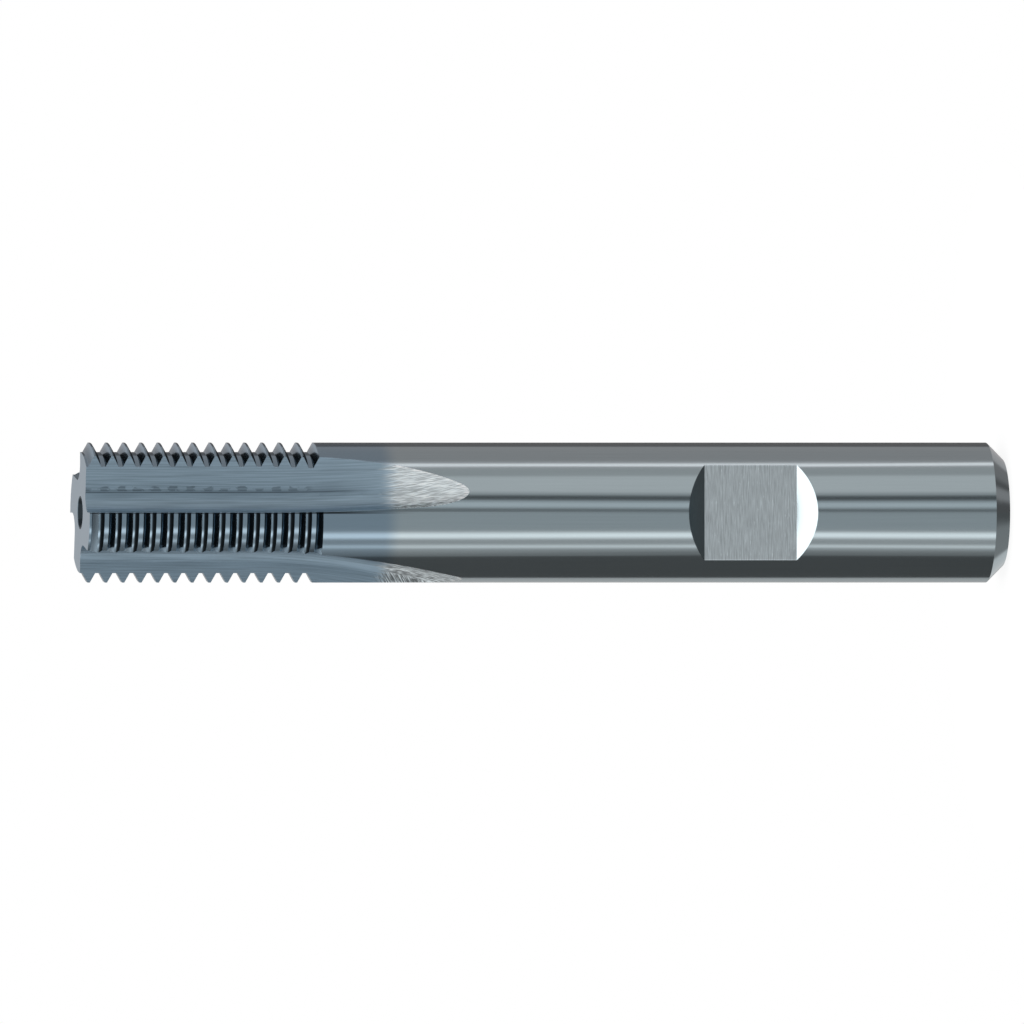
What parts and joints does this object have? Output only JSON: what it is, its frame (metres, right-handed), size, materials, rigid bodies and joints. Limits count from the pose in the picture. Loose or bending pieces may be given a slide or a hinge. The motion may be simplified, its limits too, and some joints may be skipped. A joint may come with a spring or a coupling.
{
  "type": "thread mill",
  "caption": "Carbide thread mill: ringed 60 degree teeth on straight flutes, a coolant duct along the axis, and a round shank with a clamping flat.",
  "frame": {"origin": "centre of the rear face of the shank, on the axis; the mill stands on this face", "axes": "+Z along the axis from the shank to the cutting tip, -Y out of the clamping flat, +X along a cutting edge's radius"},
  "size_m": [0.012, 0.012, 0.08],
  "materials": {
    "carbide": "ground and polished cemented carbide, with a blue-grey hard coating on the cutting end"
  },
  "bodies": {
    "root": {"thread_mill": "carbide"}
  },
  "joints": []
}
